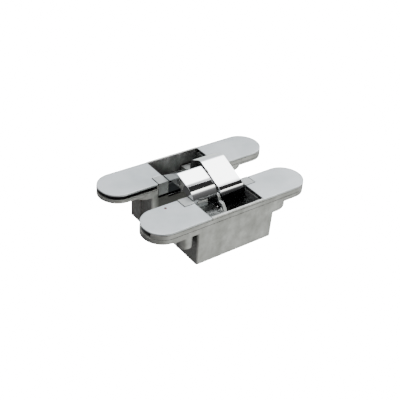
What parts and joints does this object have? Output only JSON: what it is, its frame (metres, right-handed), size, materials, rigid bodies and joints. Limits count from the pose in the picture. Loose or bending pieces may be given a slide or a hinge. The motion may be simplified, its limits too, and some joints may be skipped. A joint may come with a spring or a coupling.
{
  "type": "concealed door hinge",
  "caption": "Concealed hinge: rounded die-cast housings with push-fit covers, joined by crossed arms that fold into both; adjustable carriers.",
  "frame": {"origin": "centre of the frame housing's four fixing-screw holes, on the underside of its flange", "axes": "+X along the hinge axis, +Y from the door housing towards the frame housing, +Z out of the cover faces; shown fully open at 180 degrees"},
  "size_m": [0.1324, 0.078, 0.0495],
  "materials": {
    "housing_zinc": "raw die-cast zinc, matt",
    "cover_satin": "satin chrome plate",
    "carrier_zinc": "satin plated die-cast zinc",
    "arm_chrome": "polished chrome plate on cast zinc",
    "pin_steel": "ground steel",
    "bearing_polymer": "dark bearing polymer",
    "screw_steel": "zinc-plated steel"
  },
  "bodies": {
    "frame_side": {"frame_housing": "housing_zinc", "frame_cover_left": "cover_satin", "frame_cover_right": "cover_satin"},
    "frame_adjuster": {"frame_adjusting_screw": "screw_steel"},
    "frame_carriage": {"frame_carrier": "carrier_zinc", "frame_pivot_pin": "pin_steel", "frame_locking_screw": "screw_steel"},
    "right_link": {"right_arm": "arm_chrome", "frame_pivot_bush_inner": "bearing_polymer", "frame_pivot_bush_outer": "bearing_polymer", "right_centre_bush": "bearing_polymer", "door_slide_pin": "pin_steel"},
    "left_link": {"left_arm": "arm_chrome", "door_pivot_bush_inner": "bearing_polymer", "door_pivot_bush_outer": "bearing_polymer", "left_centre_bush": "bearing_polymer", "frame_slide_pin": "pin_steel", "centre_pin": "pin_steel", "centre_spacer": "bearing_polymer"},
    "door_carriage": {"door_carrier": "carrier_zinc", "door_pivot_pin": "pin_steel", "door_locking_screw": "screw_steel"},
    "door_side": {"door_housing": "housing_zinc", "door_cover_left": "cover_satin", "door_cover_right": "cover_satin"},
    "door_adjuster": {"door_adjusting_screw": "screw_steel"}
  },
  "joints": [
    {"name": "frame_side_adjustment", "type": "slide", "parent": "frame_side", "child": "frame_carriage", "axis": [0, 0, 1], "range_m": [-0.0015, 0.0015]},
    {"name": "frame_screw_turn", "type": "hinge", "parent": "frame_side", "child": "frame_adjuster", "pos_m": [0.0254, 0.006, 0], "axis": [0, 0, 1], "range_deg": [-675.5, 675.5]},
    {"name": "frame_pivot", "type": "hinge", "parent": "frame_carriage", "child": "right_link", "pos_m": [0.011, -0.0105, 0.0015], "axis": [-1, 0, 0], "range_deg": [0, 122.37]},
    {"name": "centre_pivot", "type": "hinge", "parent": "right_link", "child": "left_link", "pos_m": [0, -0.025, 0.0113], "axis": [-1, 0, 0], "range_deg": [-64.75, 0]},
    {"name": "door_pivot", "type": "hinge", "parent": "left_link", "child": "door_carriage", "pos_m": [-0.011, -0.0395, 0.0015], "axis": [-1, 0, 0], "range_deg": [0, 122.38]},
    {"name": "door_side_adjustment", "type": "slide", "parent": "door_carriage", "child": "door_side", "axis": [0, 0, 1], "range_m": [-0.0015, 0.0015]},
    {"name": "door_screw_turn", "type": "hinge", "parent": "door_side", "child": "door_adjuster", "pos_m": [-0.0254, -0.056, 0], "axis": [0, 0, 1], "range_deg": [-675.5, 675.5]}
  ],
  "couplings": [
    {"joint": "centre_pivot", "follows": "frame_pivot", "ratio": -0.52905},
    {"joint": "door_pivot", "follows": "frame_pivot", "ratio": 1},
    {"joint": "frame_screw_turn", "follows": "frame_side_adjustment", "rad_per_m": 7854},
    {"joint": "door_screw_turn", "follows": "door_side_adjustment", "rad_per_m": 7854}
  ]
}
